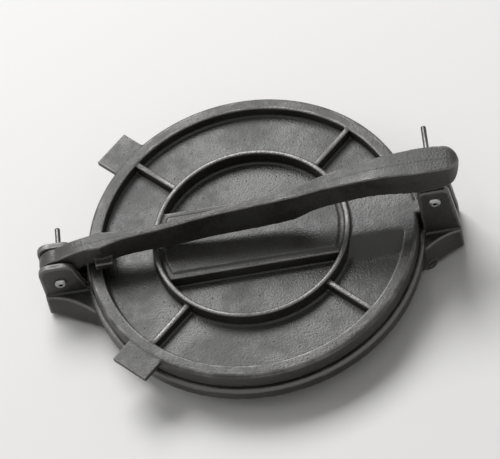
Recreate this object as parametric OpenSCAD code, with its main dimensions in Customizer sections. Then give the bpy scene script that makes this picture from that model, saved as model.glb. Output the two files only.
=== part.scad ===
// Cast-iron tortilla press: two hinged round plates squeezed by a long lever.
// X runs along the lever, from its pivot fork (-X) to the plate hinge and the handle (+X).
// Z is up, Z = 0 is the surface the press stands on, and the plates share the Z axis.

/* [Pressing plates] */
// Diameter of the top plate, the size the press is sold by
plate_d = 254; // [220:1:290]
// How far the base plate shows all round beyond the top plate
base_ledge = 3.5; // [2.5:0.5:6]
// Height of the base plate's top face above the table
base_top = 24; // [23:0.5:30]
// Thickness of the base plate at its edge
base_t = 12.5; // [8:0.5:14]
// Thickness of the base plate inside its edge
base_web = 5.5; // [4:0.5:6.5]
// Width of the thick edge under the base plate
base_edge_w = 9; // [6:0.5:14]
// Width of the ribs under the base plate
base_rib_w = 8; // [5:0.5:12]
// Thickness of the top plate at its rim
top_t = 15.2; // [12:0.1:17]
// Thickness of the top plate under its sunken panel
top_web = 6.2; // [5:0.1:7.5]
// Gap left between the two closed plates
plate_gap = 0.3; // [0.2:0.1:1]
// Room kept round the top plate's edge for its swing
swing_gap = 2; // [1.5:0.1:2]

/* [Top plate casting] */
// Width of the flat rim round the sunken panel
rim_w = 10.3; // [8:0.1:13]
// Outside diameter of the middle ring
ring_d = 152; // [130:1:170]
// Thickness of the ring's wall
ring_wall = 3.8; // [3:0.1:5]
// Height of the ring above the rim
ring_rise = 3; // [2:0.5:6]
// Width of each rib between the ring and the rim
rib_w = 4.4; // [3:0.1:6]
// How far the ribs' tops lie below the rim
rib_drop = 0.6; // [0.2:0.1:2]
// Directions of the ribs, in degrees from +X
rib_angles = [45, 135, 225, 315];
// Width of the bare nameplate that crosses the ring
name_w = 61; // [40:1:80]
// Height of the nameplate above the rim
name_rise = 2.5; // [2:0.5:6]
// Width of the step round the nameplate
name_border = 5.2; // [3:0.1:8]
// Height of the step round the nameplate
name_step = 1.2; // [0.6:0.1:2]
// Width of the flat bridge that carries the hinge tongue
bridge_w = 36; // [26:1:44]
// How far each side of the bridge slopes out down to the panel
bridge_slope = 14; // [8:1:18]
// Width of each lifting lug
lug_w = 32; // [24:1:38]
// How far each lifting lug reaches beyond the rim
lug_reach = 17.5; // [12:0.5:22]
// Thickness of each lifting lug
lug_t = 5; // [4:0.5:7]
// Directions of the lifting lugs, in degrees from +X
lug_angles = [135, 225];

/* [Lever fork] */
// Distance from the plates' edge to the lever's pivot
pivot_out = 22.5; // [21:0.5:30]
// Height of the lever's pivot
pivot_z = 34; // [32:0.5:38]
// Half the outside width of the fork and of the hinge tower
cheek_half = 12.3; // [11.5:0.1:16]
// Length of the fork's cheeks along the lever
cheek_l = 28.5; // [26:0.5:32]
// How far the cheeks reach behind the pivot
cheek_back = 15; // [14:0.5:18]
// Height of the fork's cheeks above the pivot
cheek_rise = 19; // [16:0.5:22]
// Radius of the cheeks' top corners
cheek_r = 9; // [5:0.5:12]
// How far the foot of each cheek spreads towards the plates
cheek_spread = 4.5; // [2:0.5:5]
// Height of the floor between the cheeks
fork_floor = 12.5; // [10:0.5:13]

/* [Hinge tower] */
// Distance from the plates' edge to the hinge bolt
hinge_out = 14.5; // [13:0.5:18]
// Height of the hinge bolt
hinge_z = 59; // [56:0.5:64]
// Distance from the plates' edge to the tower
tower_out = 2.5; // [2.2:0.1:3.5]
// Length of the tower at its top
tower_l = 24.5; // [22:0.5:30]
// How much longer the tower is at its foot
tower_spread = 4; // [1:0.5:8]
// Height of the tower above the hinge bolt
tower_rise = 12.5; // [10:0.5:15]
// Radius of the tower's top corners
tower_r = 6; // [3:0.5:9]
// Depth of the slot's floor below the base plate's top face
slot_drop = 2.5; // [2:0.5:4]
// Half the width of the hinge tongue
tongue_half = 5.4; // [4:0.1:6]
// Radius of the tongue round the hinge bolt
tongue_r = 8.5; // [7:0.5:10]

/* [Legs and feet] */
// Half the width of each leg at its tip, at the bottom
leg_tip_half = 18; // [16:0.5:22]
// Half the width of each leg at its tip, at the shoulder
leg_shoulder_half = 14.5; // [13:0.5:18]
// Half the width of each leg where it has flared out
leg_flare_half = 39; // [38:1:46]
// How much narrower the shoulder is than the bottom where a leg has flared out
leg_taper = 1; // [0.5:0.5:3]
// Length over which a leg flares out
leg_flare_l = 40.5; // [38:0.5:50]
// How far each leg runs on under the base plate
leg_under = 16; // [10:1:24]
// Height of each leg's shoulder
leg_top = 19.2; // [18:0.2:22]
// Height of each leg's underside above the table
leg_clear = 3; // [2:0.5:5]
// Diameter of each rubber foot
foot_d = 16; // [12:0.5:20]
// How deep each foot sits in its leg
foot_sink = 2; // [1:0.5:3]
// Radial clearance of each foot in its seat
foot_gap = 0.2; // [0.1:0.1:0.5]
// Distance from the plates' edge in to the feet's centres
foot_in = 1; // [-3:0.5:6]
// Distance of the feet's centres from the X axis
foot_y = 25; // [20:0.5:26]
// Thickness of rubber under each foot screw's head
foot_grip = 1.6; // [1:0.1:2.5]
// Diameter of each foot screw
foot_screw_d = 4; // [3:0.5:5]
// Diameter of each foot screw's head
foot_head_d = 7.5; // [6.5:0.1:9]
// Thickness of each foot screw's head
foot_head_t = 2.2; // [1.6:0.1:2.4]
// How far each foot screw goes into its leg
foot_screw_in = 8; // [5:0.5:9]

/* [Lever] */
// Distance from the lever's pivot to the end of its handle
lever_l = 314; // [300:1:340]
// Half the lever's thickness inside the fork
lever_end_half = 6; // [5:0.1:7]
// Radius of the lever's rounded end
lever_end_r = 14.5; // [12:0.5:14.5]
// How far the rounded end's centre lies above the pivot
lever_end_up = 5.5; // [3:0.5:5.5]
// Distance from the pivot to the top of the lever's neck
neck_x = 16; // [14:0.5:20]
// Height of the neck's top above the blade's underside
neck_z = 17; // [15:0.5:19]
// Room between the cheeks and the place where the lever grows wider
neck_clear = 5; // [4:0.5:8]
// Radius of the lever under its pivot
lever_boss_r = 11; // [9:0.5:12]
// Gap between the lever's blade and the ring
lever_gap = 1.1; // [0.8:0.1:3]
// Gap between the handle and the hinge tower
handle_gap = 0.5; // [0.3:0.1:2]
// Depth of the lever's blade where it is deepest
blade_depth = 29; // [26:0.5:32]
// Half the width of the handle
handle_half = 11.5; // [10:0.1:13]
// How much the handle narrows at its rounded end
handle_taper = 0.3; // [0:0.1:1]
// Half the width of the pressing foot under the lever
press_half = 13; // [11:0.5:16]
// Length of the pressing foot
press_l = 14; // [12:0.1:15]
// Length of the part of the pressing foot that bears on the panel
press_toe = 4.6; // [4:0.1:6]
// Gap between the pressing foot and the panel
press_gap = 0.3; // [0.2:0.1:1]
// Height of the pressing foot's shoulders above the blade's underside
press_depth = 6; // [3:0.5:9]
// Gap between the pressing foot's heel and the rim
heel_gap = 3.5; // [3:0.1:4]
// Gap between the pressing foot's toe and the inside of the rim
toe_clear = 6.2; // [4:0.1:8]

/* [Bolts, nuts and washers] */
// Diameter of the two bolts
bolt_d = 5; // [4:0.5:6]
// Length of the lever's bolt under its head
lever_bolt_l = 50; // [45:5:60]
// Length of the hinge's bolt under its head
hinge_bolt_l = 70; // [60:5:80]
// Radial clearance of the bolts in every bore
bolt_clear = 0.05; // [0.02:0.01:0.1]
// Diameter of the bolts' domed heads
head_d = 9.5; // [8.5:0.1:11]
// Thickness of the bolts' domed heads
head_t = 2.8; // [2.4:0.1:3.4]
// Size of the hexagon socket, across its flats
socket_af = 3; // [2:0.5:4]
// Depth of the hexagon socket
socket_depth = 1.7; // [1:0.1:2]
// Size of the nuts, across their flats
nut_af = 8; // [7.5:0.5:10]
// Thickness of the nuts
nut_t = 5; // [4:0.1:6]
// Outside diameter of every washer
washer_d = 10; // [9:0.5:12]
// Thickness of every washer
washer_t = 1; // [0.8:0.1:1.2]
// Side gap that each washer leaves
washer_gap = 0.05; // [0.03:0.01:0.1]

/* [Hidden] */
$fn = 96;

IRON = [0.10, 0.10, 0.11];
STEEL = [0.62, 0.63, 0.65];
RUBBER = [0.05, 0.05, 0.05];
eps = 0.01;
far = 400;

plate_r = plate_d / 2;
base_r = plate_r + base_ledge;
base_bottom = base_top - base_t;
top_bottom = base_top + plate_gap;
rim_top = top_bottom + top_t;
panel_top = top_bottom + top_web;
ring_r = ring_d / 2;
ring_top = rim_top + ring_rise;
edge_round = 1.4;
edge_soft = 0.5;
rim_bevel = 1.8;

bolt_r = bolt_d / 2;
bore_r = bolt_r + bolt_clear;
pivot_x = -(plate_r + pivot_out);
hinge_x = plate_r + hinge_out;
tower_x = plate_r + tower_out;
tower_top = hinge_z + tower_rise;
fork_half = lever_end_half + washer_t + 2 * washer_gap;
slot_half = tongue_half + washer_t + 2 * washer_gap;
cheek_x = pivot_x - cheek_back;
leg_tip_right = tower_x + tower_l + tower_spread;
foot_x = plate_r + foot_in;
foot_seat_z = leg_clear + foot_sink;
foot_shelf_z = foot_seat_z - foot_grip;
screw_room = 1;

// Heights that the lever is shaped between: just over the ring, and just over the hinge tower
blade_z = ring_top + lever_gap;
handle_z = tower_top + handle_gap;
press_x = -(plate_r - rim_w) + toe_clear;
press_heel_x = press_x + press_toe - press_l;
heel_z = rim_top + heel_gap;

// Stations along the lever, all as shares: how far along its length, the underside's height
// between blade_z and handle_z, the depth out of blade_depth, and the half width out of handle_half
STATIONS = [
    [0.115, 0.00, 0.71, 0.64], [0.183, 0.00, 0.77, 0.31], [0.285, 0.01, 0.87, 0.23],
    [0.384, 0.13, 0.95, 0.23], [0.486, 0.20, 1.00, 0.26], [0.584, 0.36, 0.99, 0.37],
    [0.635, 0.66, 0.84, 0.46], [0.686, 0.87, 0.79, 0.59], [0.788, 1.08, 0.77, 0.80],
    [0.887, 1.02, 0.86, 0.99], [0.950, 1.06, 0.79, 1.00], [0.984, 1.22, 0.59, 1.00],
    [1.000, 1.58, 0.15, 1.00]
];
curve_steps = 6;

// Point at share s between b and c, on the smooth curve through a, b, c and d
function curve_point(a, b, c, d, s) =
    0.5 * (2 * b + (c - a) * s + (2 * a - 5 * b + 4 * c - d) * s * s + (3 * b - a - 3 * c + d) * s * s * s);

// Smooth curve through all the points of a list
function curve(p) = [
    for (i = [0 : len(p) - 2], k = [0 : curve_steps - 1])
        curve_point(p[max(i - 1, 0)], p[i], p[i + 1], p[min(i + 2, len(p) - 1)], k / curve_steps),
    p[len(p) - 1]
];

function reversed(p) = [for (i = [len(p) - 1 : -1 : 0]) p[i]];

function station_x(s) = pivot_x + s[0] * lever_l;
function station_z(s) = blade_z + s[1] * (handle_z - blade_z);
function station_top(s) = station_z(s) + s[2] * blade_depth;

// Extrudes a side view, drawn in X and Z, from y0 to y1
module side_view(y0, y1) {
    translate([0, y1, 0]) rotate([90, 0, 0]) linear_extrude(y1 - y0) children();
}

// A cylinder along Y from y0 to y1
module rod_y(r, y0, y1) {
    translate([0, y0, 0]) rotate([-90, 0, 0]) cylinder(r = r, h = y1 - y0);
}

module ring(r_out, r_in, t) {
    difference() {
        cylinder(r = r_out, h = t);
        translate([0, 0, -eps]) cylinder(r = r_in, h = t + 2 * eps);
    }
}

// Side view of a cheek: an upright with rounded top corners
module cheek_side(x0, z0, l, top, r) {
    translate([x0, z0]) square([l, top - z0 - r]);
    translate([x0 + r, z0]) square([l - 2 * r, top - z0]);
    for (x = [x0 + r, x0 + l - r]) translate([x, top - r]) circle(r);
}

// ---- Base plate -------------------------------------------------------------

module base_disc() {
    rotate_extrude($fn = 180) polygon([
        [0, base_top], [base_r - edge_round, base_top], [base_r, base_top - edge_round],
        [base_r, base_bottom + edge_round], [base_r - edge_round, base_bottom],
        [base_r - base_edge_w, base_bottom], [base_r - base_edge_w, base_top - base_web],
        [0, base_top - base_web]
    ]);
}

// Ribs under the base plate, which carry the press from one leg to the other
module base_ribs() {
    for (a = [0, 90])
        rotate([0, 0, a])
            translate([-base_r + base_edge_w / 2, -base_rib_w / 2, base_bottom])
                cube([2 * base_r - base_edge_w, base_rib_w, base_t - base_web / 2]);
}

// Cross-section of a leg at x, with its half widths at the bottom and at the shoulder
function leg_section(x, bottom, shoulder) = [
    [x, -bottom, leg_clear], [x, bottom, leg_clear], [x, shoulder, leg_top], [x, -shoulder, leg_top]
];

// A leg on the +X side, with its tip at tip_x: its bottom flares straight and its shoulder in a curve
module leg(tip_x) {
    steps = 12;
    top_half = leg_flare_half - leg_taper;
    sections = [
        for (s = [0 : 1 / steps : 1 + eps])
            leg_section(tip_x - s * leg_flare_l, leg_tip_half + (leg_flare_half - leg_tip_half) * s,
                leg_shoulder_half + (top_half - leg_shoulder_half) * s * s),
        leg_section(plate_r - leg_under, leg_flare_half, top_half)
    ];
    last = 4 * (len(sections) - 1);
    polyhedron(
        points = [for (section = sections) each section],
        faces = concat(
            [[0, 2, 1], [0, 3, 2], [last, last + 1, last + 2], [last, last + 2, last + 3]],
            [for (i = [0 : 4 : last - 4], k = [0 : 3], half = [0, 1])
                let (a = i + k, b = i + (k + 1) % 4)
                    half == 0 ? [a, b, a + 4] : [b, b + 4, a + 4]]
        )
    );
}

module fork_cheek_side() {
    top = pivot_z + cheek_rise;
    cheek_side(cheek_x, fork_floor, cheek_l, top, cheek_r);
    polygon([
        [cheek_x + cheek_l - cheek_r, fork_floor], [cheek_x + cheek_l + cheek_spread, fork_floor],
        [cheek_x + cheek_l + cheek_spread, base_top], [cheek_x + cheek_l, top - cheek_r],
        [cheek_x + cheek_l - cheek_r, top - cheek_r]
    ]);
}

module tower_side() {
    cheek_side(tower_x, base_bottom, tower_l, tower_top, tower_r);
    polygon([
        [tower_x, leg_clear], [leg_tip_right, leg_clear], [leg_tip_right, leg_top],
        [tower_x + tower_l, tower_top - tower_r], [tower_x, tower_top - tower_r]
    ]);
}

module foot_places() {
    for (x = [-foot_x, foot_x], y = [-foot_y, foot_y]) translate([x, y, 0]) children();
}

module base_plate() {
    color(IRON) difference() {
        union() {
            base_disc();
            base_ribs();
            mirror([1, 0, 0]) leg(-cheek_x);
            leg(leg_tip_right);
            side_view(-cheek_half, cheek_half) fork_cheek_side();
            side_view(-cheek_half, cheek_half) tower_side();
        }
        // slot for the lever's end, open towards the tip and upwards
        translate([cheek_x - far, -fork_half, fork_floor])
            cube([far - cheek_x - plate_r - base_ledge, 2 * fork_half, far]);
        // run-out of that slot over the base plate's edge
        translate([cheek_x, -fork_half, base_top])
            cube([-plate_r - cheek_x, 2 * fork_half, far]);
        // slot for the hinge tongue
        translate([plate_r, -slot_half, base_top - slot_drop])
            cube([far, 2 * slot_half, far]);
        // room for the top plate's edge as it swings
        translate([0, 0, base_top]) cylinder(r = plate_r + swing_gap, h = far, $fn = 180);
        translate([pivot_x, 0, pivot_z]) rod_y(bore_r, -far, far);
        translate([hinge_x, 0, hinge_z]) rod_y(bore_r, -far, far);
        foot_places() {
            translate([0, 0, -far]) cylinder(d = foot_d + 2 * foot_gap, h = far + foot_seat_z);
            cylinder(r = foot_screw_d / 2 + bolt_clear, h = foot_seat_z + foot_screw_in + screw_room);
        }
    }
}

// ---- Top plate --------------------------------------------------------------

module plate_disc() {
    rim_in = plate_r - rim_w;
    rotate_extrude($fn = 180) polygon([
        [0, top_bottom], [plate_r - edge_round, top_bottom], [plate_r, top_bottom + edge_round],
        [plate_r, rim_top - rim_bevel], [plate_r - rim_bevel, rim_top],
        [rim_in + edge_soft, rim_top], [rim_in, rim_top - edge_soft],
        [rim_in, panel_top + edge_round], [rim_in - edge_round, panel_top], [0, panel_top]
    ]);
}

module plate_ring() {
    rotate_extrude($fn = 180) polygon([
        [ring_r - ring_wall - edge_round, panel_top - eps], [ring_r - ring_wall, panel_top + edge_round],
        [ring_r - ring_wall, ring_top], [ring_r, ring_top],
        [ring_r, panel_top + edge_round], [ring_r + edge_round, panel_top - eps]
    ]);
}

module plate_ribs() {
    for (a = rib_angles)
        rotate([0, 0, a])
            translate([ring_r - ring_wall / 2, -rib_w / 2, panel_top - eps])
                cube([plate_r - rim_w / 2 - ring_r + ring_wall / 2, rib_w, rim_top - rib_drop - panel_top]);
}

// The bare nameplate: a pad with a step round it, closed in by the ring
module nameplate() {
    pad_z = rim_top + name_rise;
    intersection() {
        translate([-far / 2, -name_w / 2, panel_top - eps])
            cube([far, name_w, pad_z - name_step - panel_top]);
        translate([0, 0, panel_top - 1]) cylinder(r = ring_r - ring_wall / 2, h = far, $fn = 180);
    }
    intersection() {
        translate([-far / 2, -name_w / 2 + name_border, panel_top])
            cube([far, name_w - 2 * name_border, pad_z - panel_top]);
        translate([0, 0, panel_top]) cylinder(r = ring_r - ring_wall - name_border, h = far, $fn = 180);
    }
}

module lugs() {
    for (a = lug_angles)
        rotate([0, 0, a])
            translate([plate_r - rim_w / 2, -lug_w / 2, rim_top - lug_t])
                cube([rim_w / 2 + lug_reach, lug_w, lug_t - edge_soft]);
}

// Bridge from the ring to the rim below the hinge: flat on top, with sloping sides
module bridge() {
    foot_half = bridge_w / 2 + bridge_slope;
    intersection() {
        rotate([90, 0, 90]) linear_extrude(far) polygon([
            [-foot_half, panel_top - eps], [foot_half, panel_top - eps],
            [bridge_w / 2, rim_top - eps], [-bridge_w / 2, rim_top - eps]
        ]);
        translate([0, 0, panel_top - 1]) ring(plate_r - rim_bevel, ring_r - ring_wall / 2, far);
    }
}

// The tongue that rises from the rim to the hinge bolt
module hinge_tongue() {
    back_x = hinge_x + tongue_r - edge_soft;
    front_x = hinge_x - tongue_r + edge_soft;
    side_view(-tongue_half, tongue_half) {
        translate([hinge_x, hinge_z]) circle(tongue_r);
        polygon([
            [plate_r - rim_w, top_bottom], [back_x - edge_round, top_bottom],
            [back_x, top_bottom + edge_round],
            [back_x, hinge_z], [front_x, hinge_z], [front_x, rim_top], [plate_r - rim_w, rim_top]
        ]);
    }
}

module top_plate() {
    color(IRON) difference() {
        union() {
            plate_disc();
            plate_ring();
            plate_ribs();
            nameplate();
            lugs();
            bridge();
            hinge_tongue();
        }
        translate([hinge_x, 0, hinge_z]) rod_y(bore_r, -far, far);
    }
}

// ---- Lever ------------------------------------------------------------------

module lever_side() {
    top = curve(concat(
        [[pivot_x, pivot_z + lever_end_up + lever_end_r], [pivot_x + neck_x, blade_z + neck_z]],
        [for (s = STATIONS) [station_x(s), station_top(s)]]
    ));
    under = curve([for (s = STATIONS) [station_x(s), station_z(s)]]);
    polygon(concat(
        [[pivot_x, pivot_z]], top, reversed(under),
        [[press_heel_x, heel_z], [-plate_r - swing_gap, heel_z], [pivot_x + lever_boss_r, pivot_z]]
    ));
    translate([pivot_x, pivot_z + lever_end_up]) circle(lever_end_r);
    translate([pivot_x, pivot_z]) circle(lever_boss_r);
}

module lever_plan() {
    end_r = handle_half - handle_taper;
    end_x = pivot_x + lever_l - end_r;
    body = curve([for (s = STATIONS) if (station_x(s) < end_x) [station_x(s), s[3] * handle_half]]);
    half = concat(
        [[pivot_x - 2 * lever_end_r, lever_end_half], [pivot_x + cheek_rise + neck_clear, lever_end_half]],
        body, [[end_x, end_r]]
    );
    polygon(concat(half, [for (p = reversed(half)) [p[0], -p[1]]]));
    translate([end_x, 0]) circle(end_r);
}

// The wide foot that presses on the sunken panel, just inside the rim
module pressing_foot() {
    side_view(-press_half, press_half) polygon([
        [press_x, panel_top + press_gap], [press_x + press_toe, panel_top + press_gap],
        [press_x + press_toe, blade_z + press_depth], [press_heel_x, blade_z + press_depth],
        [press_heel_x, heel_z], [press_x, heel_z]
    ]);
}

module lever() {
    color(IRON) difference() {
        union() {
            intersection() {
                side_view(-far / 2, far / 2) lever_side();
                linear_extrude(far) lever_plan();
            }
            pressing_foot();
        }
        translate([pivot_x, 0, pivot_z]) rod_y(bore_r, -far, far);
    }
}

// ---- Bolts, nuts and washers ------------------------------------------------

// A bolt along +Y with a domed head; the underside of its head is at Y = 0
module dome_bolt(l) {
    color(STEEL) rotate([-90, 0, 0]) difference() {
        rotate_extrude() polygon([
            [0, l], [bolt_r - 0.6, l], [bolt_r, l - 0.6], [bolt_r, 0], [head_d / 2, 0],
            [head_d / 2, -head_t * 0.3], [head_d * 0.44, -head_t * 0.68],
            [head_d * 0.34, -head_t * 0.9], [head_d * 0.22, -head_t], [0, -head_t]
        ]);
        translate([0, 0, -head_t - eps])
            cylinder(d = socket_af / cos(30), h = socket_depth + eps, $fn = 6);
    }
}

module nut() {
    color(STEEL) rotate([-90, 0, 0]) difference() {
        cylinder(d = nut_af / cos(30), h = nut_t, $fn = 6);
        translate([0, 0, -eps]) cylinder(r = bore_r, h = nut_t + 2 * eps);
    }
}

module washer() {
    color(STEEL) rotate([-90, 0, 0]) ring(washer_d / 2, bore_r + 0.1, washer_t);
}

module at_pivot(y) {
    translate([pivot_x, y, pivot_z]) children();
}

module at_hinge(y) {
    translate([hinge_x, y, hinge_z]) children();
}

// ---- Feet -------------------------------------------------------------------

module foot(x, y) {
    color(RUBBER) translate([x, y, 0]) difference() {
        rotate_extrude() polygon([
            [0, 0], [foot_d / 2 - 0.8, 0], [foot_d / 2, 0.8], [foot_d / 2, foot_seat_z], [0, foot_seat_z]
        ]);
        translate([0, 0, -1]) cylinder(d = foot_head_d + 2 * foot_gap, h = foot_shelf_z + 1);
        cylinder(d = foot_screw_d + 2 * foot_gap, h = far);
    }
}

module foot_screw(x, y) {
    color(STEEL) translate([x, y, 0]) difference() {
        union() {
            translate([0, 0, foot_shelf_z - foot_head_t]) cylinder(d = foot_head_d, h = foot_head_t);
            translate([0, 0, foot_shelf_z - eps])
                cylinder(d = foot_screw_d, h = foot_grip + foot_screw_in + eps);
        }
        for (a = [0, 90])
            translate([0, 0, foot_shelf_z - foot_head_t - eps]) rotate([0, 0, a])
                translate([-foot_head_d * 0.3, -0.45, 0]) cube([foot_head_d * 0.6, 0.9, foot_head_t * 0.6]);
    }
}

base_plate();
top_plate();
lever();
at_pivot(-cheek_half) dome_bolt(lever_bolt_l);  // lever_bolt
at_pivot(cheek_half) washer();  // lever_bolt_washer
at_pivot(cheek_half + washer_t) nut();  // lever_bolt_nut
at_pivot(-fork_half + washer_gap) washer();  // lever_washer_front
at_pivot(lever_end_half + washer_gap) washer();  // lever_washer_rear
at_hinge(-cheek_half) dome_bolt(hinge_bolt_l);  // hinge_bolt
at_hinge(cheek_half) washer();  // hinge_bolt_washer
at_hinge(cheek_half + washer_t) nut();  // hinge_bolt_nut
at_hinge(-slot_half + washer_gap) washer();  // hinge_washer_front
at_hinge(tongue_half + washer_gap) washer();  // hinge_washer_rear
foot(-foot_x, -foot_y);  // foot_left_front
foot(-foot_x, foot_y);  // foot_left_rear
foot(foot_x, -foot_y);  // foot_right_front
foot(foot_x, foot_y);  // foot_right_rear
foot_screw(-foot_x, -foot_y);  // foot_screw_left_front
foot_screw(-foot_x, foot_y);  // foot_screw_left_rear
foot_screw(foot_x, -foot_y);  // foot_screw_right_front
foot_screw(foot_x, foot_y);  // foot_screw_right_rear
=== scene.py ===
"""The finished tortilla press: castings, hardware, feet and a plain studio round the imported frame.

Lengths are in metres. X runs along the lever from the pivot fork to the handle, Z is up,
and the two plates share the Z axis.
"""

import logging
import math
from abc import ABC, abstractmethod
from collections.abc import Mapping, Sequence
from dataclasses import dataclass, replace
from enum import Enum, IntEnum
from typing import ClassVar

import bmesh
import bpy
from mathutils import Matrix, Vector, noise


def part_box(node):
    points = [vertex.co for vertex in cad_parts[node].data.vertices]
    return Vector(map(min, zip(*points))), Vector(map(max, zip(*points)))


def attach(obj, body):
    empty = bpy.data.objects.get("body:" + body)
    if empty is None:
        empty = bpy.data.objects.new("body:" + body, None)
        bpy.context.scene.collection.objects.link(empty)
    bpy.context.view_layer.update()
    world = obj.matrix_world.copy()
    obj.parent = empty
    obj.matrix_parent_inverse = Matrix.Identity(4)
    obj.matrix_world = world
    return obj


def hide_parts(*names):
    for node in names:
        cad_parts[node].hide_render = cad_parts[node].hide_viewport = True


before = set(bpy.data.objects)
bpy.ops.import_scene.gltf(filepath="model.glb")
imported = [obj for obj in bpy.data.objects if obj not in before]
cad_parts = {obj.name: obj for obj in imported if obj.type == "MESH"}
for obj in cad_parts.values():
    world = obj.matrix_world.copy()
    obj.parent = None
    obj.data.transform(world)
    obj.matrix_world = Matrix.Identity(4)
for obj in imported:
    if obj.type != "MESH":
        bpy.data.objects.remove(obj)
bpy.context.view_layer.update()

LOG = logging.getLogger("tortilla_press")
MM = 0.001
TINY = 1e-6
SMOOTH_FACTOR = 0.5
SHARP_ANGLE = math.radians(35)
NOISE_MEAN = 0.5
EDGE_MARK = "edge_mark"
OIL_MARK = "oil_mark"

Colour = tuple[float, float, float]
Place = tuple[float, float, float]
Socket = bpy.types.NodeSocket
Number = float | Socket


class Body(Enum):
    """The bodies that move on their own."""

    BASE = "base"
    TOP_PLATE = "top_plate"
    LEVER = "lever"


class Slot(Enum):
    """The finishes that the record names."""

    CAST_IRON = "cast_iron"
    ZINC_STEEL = "zinc_steel"
    RUBBER = "rubber"


class Outline(Enum):
    """What a ring of a turned piece looks like from its end."""

    ROUND = "round"
    HEXAGON = "hexagon"
    CROSS = "cross"


# ---- Node trees ---------------------------------------------------------------------------------


class MixColour(IntEnum):
    """The numbers of a mix node's colour sockets, whose names its other kinds share."""

    SHARE = 0
    RESULT = 2
    FIRST = 6
    SECOND = 7


def opaque(colour: Colour | Socket) -> tuple[float, float, float, float] | Socket:
    """Returns a colour as a node takes it, with full opacity, and a socket as it is."""
    return colour if isinstance(colour, Socket) else (*colour, 1.0)


class Wiring:
    """Places nodes in one tree and joins them.

    Args:
        tree: The node tree to fill.
    """

    def __init__(self, tree: bpy.types.NodeTree) -> None:
        """Keeps the tree."""
        self.tree = tree

    def join(self, value: object, target: Socket) -> None:
        """Feeds an input.

        Args:
            value: The output socket to link to it, or the plain value to set it to.
            target: The input.
        """
        if isinstance(value, Socket):
            self.tree.links.new(value, target)
        else:
            target.default_value = value

    def node(
        self, kind: str, inputs: Mapping[str | int, object] | None = None, **settings: object
    ) -> bpy.types.Node:
        """Adds a node and fills its inputs.

        Args:
            kind: The node's type.
            inputs: A plain value or an output socket for each input, by name or by number.
            settings: The node's own properties.

        Returns:
            The new node.
        """
        made = self.tree.nodes.new(kind)
        for name, value in settings.items():
            setattr(made, name, value)
        for key, value in (inputs or {}).items():
            self.join(value, made.inputs[key])
        return made

    def maths(self, operation: str, *values: Number) -> Socket:
        """Adds a maths node on numbers or sockets and returns its result."""
        return self.node("ShaderNodeMath", dict(enumerate(values)), operation=operation).outputs[0]

    def times(self, first: Number, second: Number) -> Socket:
        """Adds a product and returns it."""
        return self.maths("MULTIPLY", first, second)

    def plus(self, first: Number, second: Number) -> Socket:
        """Adds a sum and returns it."""
        return self.maths("ADD", first, second)

    def noise(self, where: Socket, scale: Number, detail: float) -> Socket:
        """Adds noise, read at a place, with a scale and some finer layers, and returns its value."""
        inputs = {"Vector": where, "Scale": scale, "Detail": detail}
        return self.node("ShaderNodeTexNoise", inputs).outputs["Fac"]

    def ramp(self, value: Number, low: Number, high: Number) -> Socket:
        """Adds a smooth step from 0 at low to 1 at high and returns it."""
        inputs = {"Value": value, "From Min": low, "From Max": high}
        return self.node("ShaderNodeMapRange", inputs, interpolation_type="SMOOTHSTEP").outputs["Result"]

    def mix(self, share: Number, first: Colour | Socket, second: Colour | Socket) -> Socket:
        """Adds a blend of two colours, of which the second has the share given, and returns it."""
        inputs = {MixColour.SHARE: share, MixColour.FIRST: opaque(first), MixColour.SECOND: opaque(second)}
        return self.node("ShaderNodeMix", inputs, data_type="RGBA").outputs[MixColour.RESULT]


class ShaderGroup(Wiring):
    """A shader node group in the making, which takes a place and numbers and gives numbers.

    Args:
        name: The group's name.
        inputs: Each number input's name and default.
        outputs: The outputs' names.
    """

    def __init__(self, name: str, inputs: Mapping[str, float], outputs: Sequence[str]) -> None:
        """Starts the group with its inputs and outputs."""
        super().__init__(bpy.data.node_groups.new(name, "ShaderNodeTree"))
        face = self.tree.interface
        face.new_socket("Vector", in_out="INPUT", socket_type="NodeSocketVector")
        for key, value in inputs.items():
            made = face.new_socket(key, in_out="INPUT", socket_type="NodeSocketFloat")
            made.default_value = value
        for key in outputs:
            face.new_socket(key, in_out="OUTPUT", socket_type="NodeSocketFloat")
        self.given = self.tree.nodes.new("NodeGroupInput").outputs
        self.leave = self.tree.nodes.new("NodeGroupOutput")

    def give(self, results: Mapping[str, Socket]) -> bpy.types.NodeTree:
        """Feeds the group's outputs.

        Args:
            results: The socket for each output, by the output's name.

        Returns:
            The finished group.
        """
        for key, value in results.items():
            self.join(value, self.leave.inputs[key])
        return self.tree


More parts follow.
